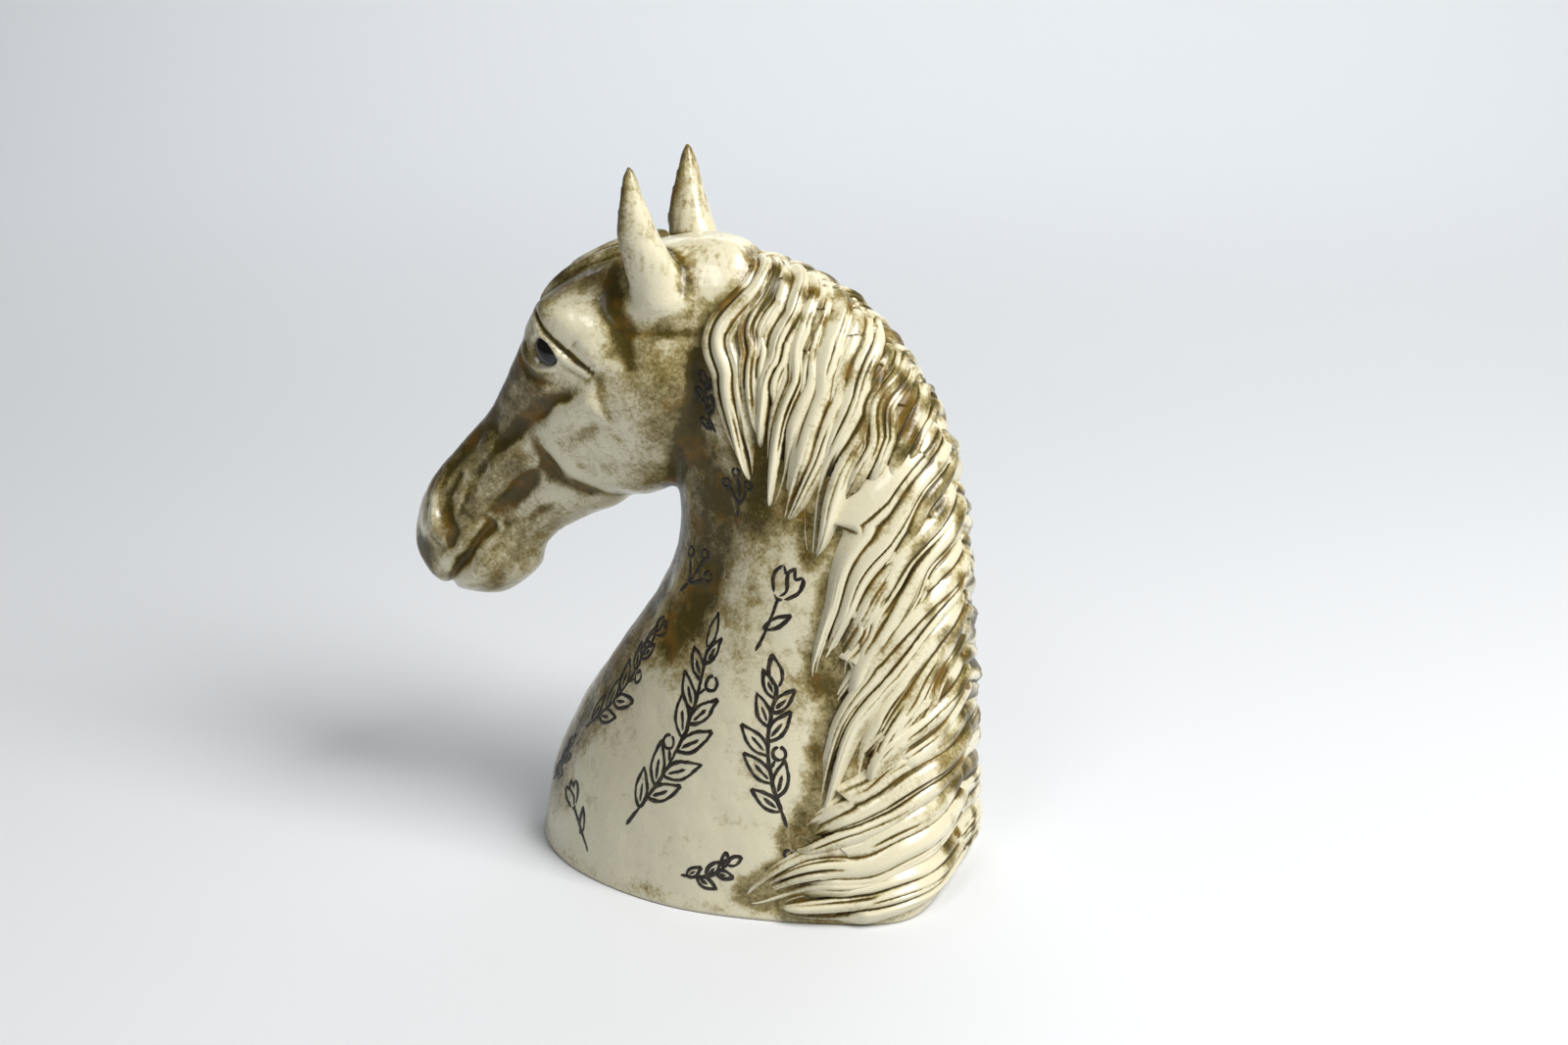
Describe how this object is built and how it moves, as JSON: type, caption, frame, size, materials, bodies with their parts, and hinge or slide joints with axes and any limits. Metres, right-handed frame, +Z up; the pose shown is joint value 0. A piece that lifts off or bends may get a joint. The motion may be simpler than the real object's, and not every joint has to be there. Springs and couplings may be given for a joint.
{
  "type": "ceramic horse head ornament",
  "caption": "Free-standing ornament of glazed ceramic: a horse's head on an arched hollow neck, with pricked ears, a laid-on mane and an open flat foot.",
  "frame": {"origin": "middle of the foot of the whole ornament's bounding box, on the table", "axes": "+Z up; the horse looks along -X and its left side is -Y"},
  "size_m": [0.2174, 0.1148, 0.257],
  "materials": {
    "cream_glaze": "glossy cream glaze over brown oxide stain",
    "stained_glaze": "glossy cream glaze, heavily stained ochre",
    "black_glaze": "gloss black glaze"
  },
  "bodies": {
    "root": {"neck_shell": "cream_glaze", "head_shell": "cream_glaze", "ear_left": "cream_glaze", "ear_right": "cream_glaze", "eyelids_left": "cream_glaze", "eyelids_right": "cream_glaze", "eye_left": "black_glaze", "eye_right": "black_glaze", "forelock": "stained_glaze", "mane_left_01": "stained_glaze", "mane_left_02": "stained_glaze", "mane_left_03": "stained_glaze", "mane_left_04": "stained_glaze", "mane_left_05": "stained_glaze", "mane_left_06": "stained_glaze", "mane_left_07": "stained_glaze", "mane_left_08": "stained_glaze", "mane_left_09": "stained_glaze", "mane_left_10": "stained_glaze", "mane_left_11": "stained_glaze", "mane_left_12": "stained_glaze", "mane_left_13": "stained_glaze", "mane_left_14": "stained_glaze", "mane_left_15": "stained_glaze", "mane_left_16": "stained_glaze", "mane_right_01": "stained_glaze", "mane_right_02": "stained_glaze", "mane_right_03": "stained_glaze", "mane_right_04": "stained_glaze", "mane_right_05": "stained_glaze", "mane_right_06": "stained_glaze", "mane_right_07": "stained_glaze", "mane_right_08": "stained_glaze", "mane_right_09": "stained_glaze", "mane_right_10": "stained_glaze", "mane_right_11": "stained_glaze", "mane_right_12": "stained_glaze", "mane_right_13": "stained_glaze", "mane_right_14": "stained_glaze", "mane_right_15": "stained_glaze"}
  },
  "joints": []
}
